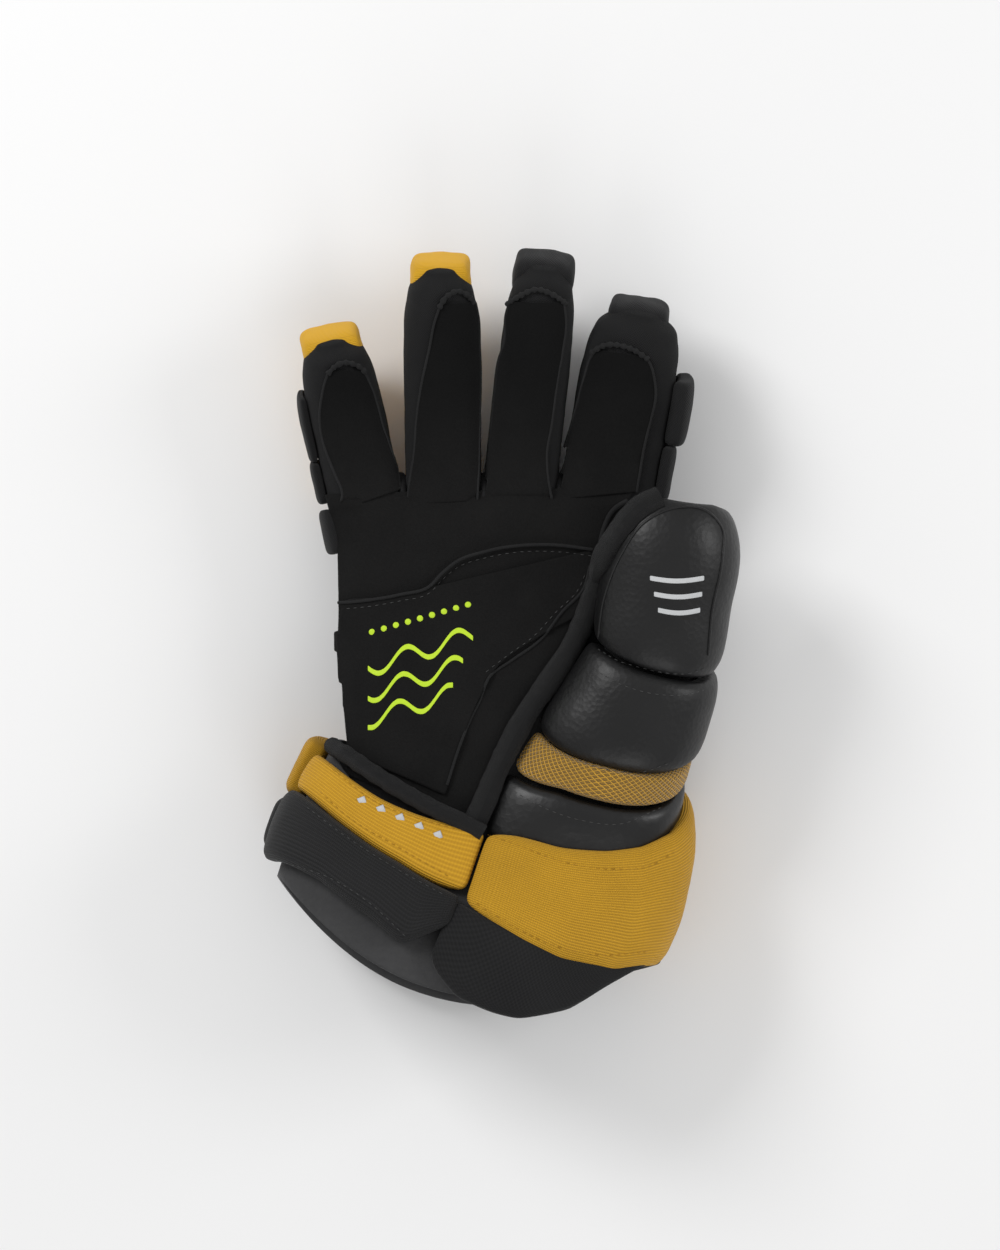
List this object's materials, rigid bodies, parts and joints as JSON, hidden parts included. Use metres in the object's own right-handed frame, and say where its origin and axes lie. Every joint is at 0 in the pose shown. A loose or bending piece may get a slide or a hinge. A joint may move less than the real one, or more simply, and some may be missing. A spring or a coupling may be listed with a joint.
{
  "type": "ice hockey glove",
  "caption": "Right-hand ice hockey glove lying palm up: padded fingers, rolls across the back, stiff thumb guard and a short flared cuff.",
  "frame": {"origin": "under the middle of the glove's bounding box, on the surface that its back lies on", "axes": "+X towards the thumb, +Y towards the fingertips, +Z from the back of the hand to the palm"},
  "size_m": [0.2138, 0.3538, 0.0897],
  "materials": {
    "suede": "matt synthetic suede with a fine nap",
    "smooth_black": "smooth coated leather with a soft sheen",
    "black_fabric": "woven nylon over foam",
    "gold": "finely ribbed woven nylon over foam, golden yellow",
    "gold_mesh": "coarse open net over foam, golden yellow",
    "lining": "dark grey brushed lining"
  },
  "bodies": {
    "root": {"back_roll_knuckle": "black_fabric", "back_roll_middle": "black_fabric", "back_roll_upper": "black_fabric", "back_roll_wrist": "black_fabric", "cuff_liner": "lining", "cuff_lower_back": "black_fabric", "cuff_lower_thumb": "black_fabric", "cuff_palm_band": "gold", "cuff_palm_pad": "black_fabric", "cuff_wrap_back": "gold", "cuff_wrap_thumb": "gold", "finger_index": "black_fabric", "finger_little": "black_fabric", "finger_middle": "black_fabric", "finger_panel_index": "suede", "finger_panel_little": "suede", "finger_panel_middle": "suede", "finger_panel_ring": "suede", "finger_ring": "black_fabric", "hand_shell": "black_fabric", "heel_overlay": "suede", "index_base_pad": "black_fabric", "index_side_pad": "black_fabric", "little_base_pad": "black_fabric", "little_low_pad": "black_fabric", "little_side_pad": "black_fabric", "palm_leather": "suede", "roll_index_1": "black_fabric", "roll_index_2": "black_fabric", "roll_index_3": "black_fabric", "roll_little_1": "gold", "roll_little_2": "gold", "roll_little_3": "gold", "roll_middle_1": "black_fabric", "roll_middle_2": "black_fabric", "roll_middle_3": "black_fabric", "roll_ring_1": "gold", "roll_ring_2": "gold", "roll_ring_3": "gold", "thumb_base_pad": "smooth_black", "thumb_lower_guard": "smooth_black", "thumb_mesh_band": "gold_mesh", "thumb_sleeve": "black_fabric", "thumb_tip_guard": "smooth_black", "tip_cap_index": "black_fabric", "tip_cap_little": "gold", "tip_cap_middle": "black_fabric", "tip_cap_ring": "gold", "wrist_roll": "smooth_black"}
  },
  "joints": []
}
